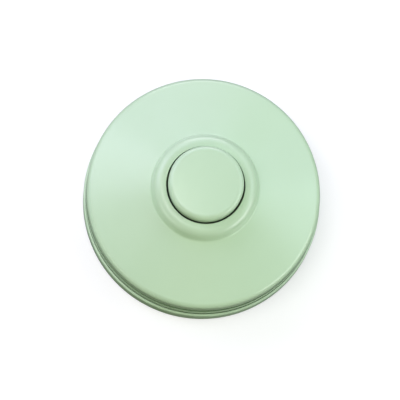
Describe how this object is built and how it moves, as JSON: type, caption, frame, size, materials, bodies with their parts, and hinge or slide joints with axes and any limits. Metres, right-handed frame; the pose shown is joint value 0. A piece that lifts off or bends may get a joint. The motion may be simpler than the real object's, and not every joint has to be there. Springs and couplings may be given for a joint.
{
  "type": "doorbell push button",
  "caption": "Round surface-mounted bell push: conical clip-on cover with a central boss, and a sprung push button that closes a leaf contact inside.",
  "frame": {"origin": "centre of the back face, on the wall plane", "axes": "+Z out of the wall along the button's axis, +Y up on the wall, +X to the right"},
  "size_m": [0.066, 0.066, 0.0309],
  "materials": {
    "cover_plastic": "glossy moulded, pale mint green",
    "base_plastic": "glossy moulded, pale mint green",
    "button_plastic": "glossy moulded, pale mint green",
    "spring_bronze": "rolled phosphor bronze",
    "contact_brass": "rolled brass",
    "contact_silver": "coined silver alloy",
    "rivet_brass": "drawn brass",
    "screw_steel": "zinc-plated steel",
    "clamp_steel": "zinc-plated steel",
    "nut_steel": "zinc-plated steel"
  },
  "bodies": {
    "housing": {"cover": "cover_plastic", "base": "base_plastic", "contact_spring": "spring_bronze", "fixed_contact": "contact_brass", "fixed_contact_tip": "contact_silver", "left_strip_rivet": "rivet_brass", "right_strip_rivet": "rivet_brass", "left_terminal_screw": "screw_steel", "right_terminal_screw": "screw_steel", "left_clamp_washer": "clamp_steel", "right_clamp_washer": "clamp_steel", "left_square_nut": "nut_steel", "right_square_nut": "nut_steel"},
    "button": {"push_button": "button_plastic", "moving_contact_tip": "contact_silver"}
  },
  "joints": [
    {"name": "button_press", "type": "slide", "parent": "housing", "child": "button", "axis": [0, 0, -1], "range_m": [0, 0.002], "stiffness_N_per_m": 1200, "springref_m": -0.0012, "deforming": ["contact_spring"]}
  ]
}
